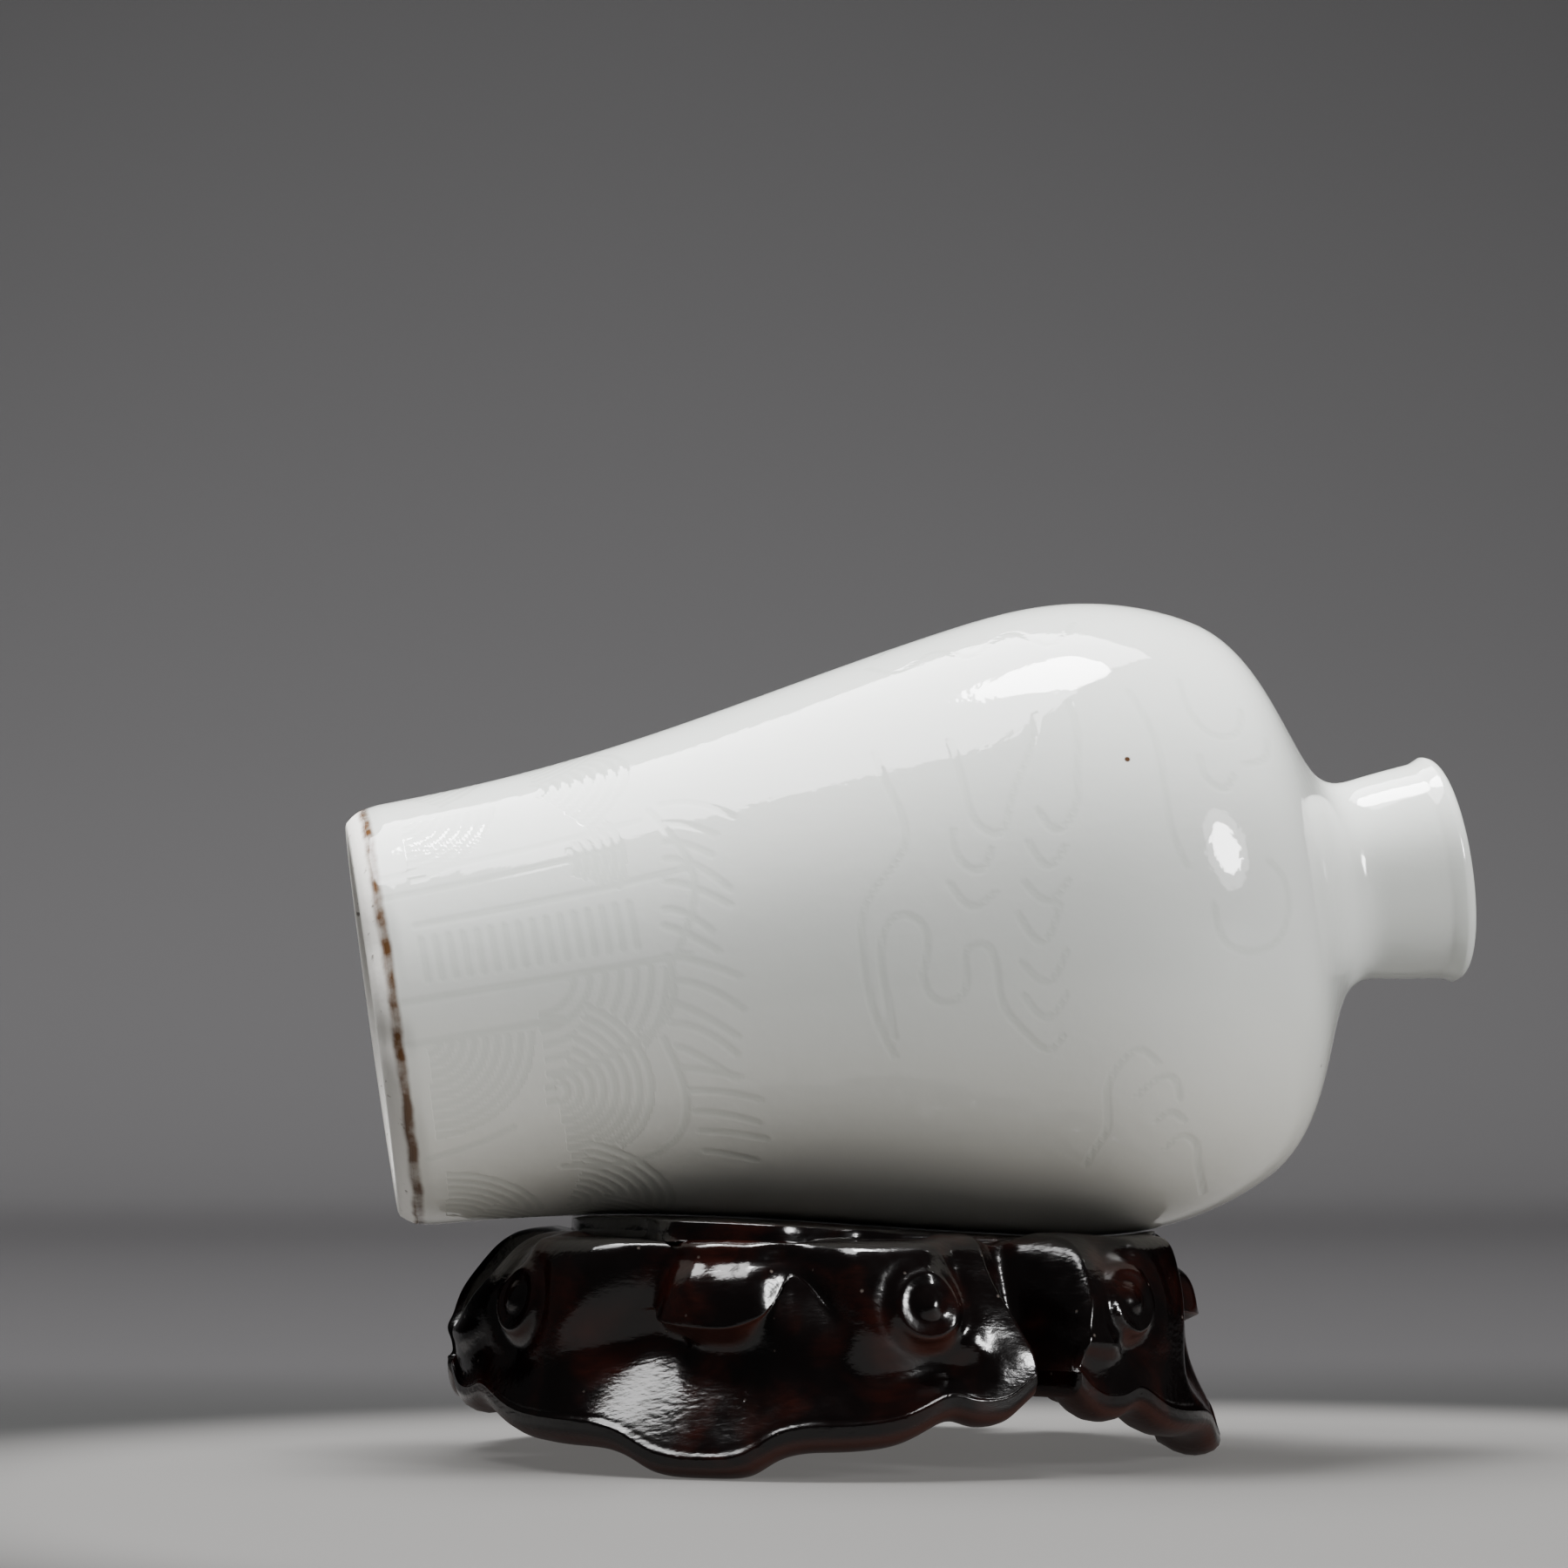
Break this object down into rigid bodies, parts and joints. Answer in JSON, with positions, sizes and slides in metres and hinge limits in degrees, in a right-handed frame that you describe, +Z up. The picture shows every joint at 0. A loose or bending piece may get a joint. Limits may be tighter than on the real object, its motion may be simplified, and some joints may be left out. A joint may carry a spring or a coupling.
{
  "type": "snuff bottle",
  "caption": "White glazed porcelain snuff bottle of plum-vase form with faint incised waves and clouds, lying on a carved dark hardwood stand with cloud-head feet.",
  "frame": {"origin": "on the ground under the middle of the whole object's box", "axes": "+X along the ground from the bottle's foot towards its mouth, +Z up, +Y away from the side that is pictured"},
  "size_m": [0.0782, 0.0532, 0.0587],
  "materials": {
    "porcelain": "glossy clear glaze, faintly cool white",
    "hardwood": "polished dark red-brown"
  },
  "bodies": {
    "stand": {"stand": "hardwood"},
    "bottle": {"bottle": "porcelain"}
  },
  "joints": [
    {"name": "bottle_lift", "type": "slide", "parent": "stand", "child": "bottle", "axis": [0, 0, 1], "range_m": [0, 0.06]}
  ]
}
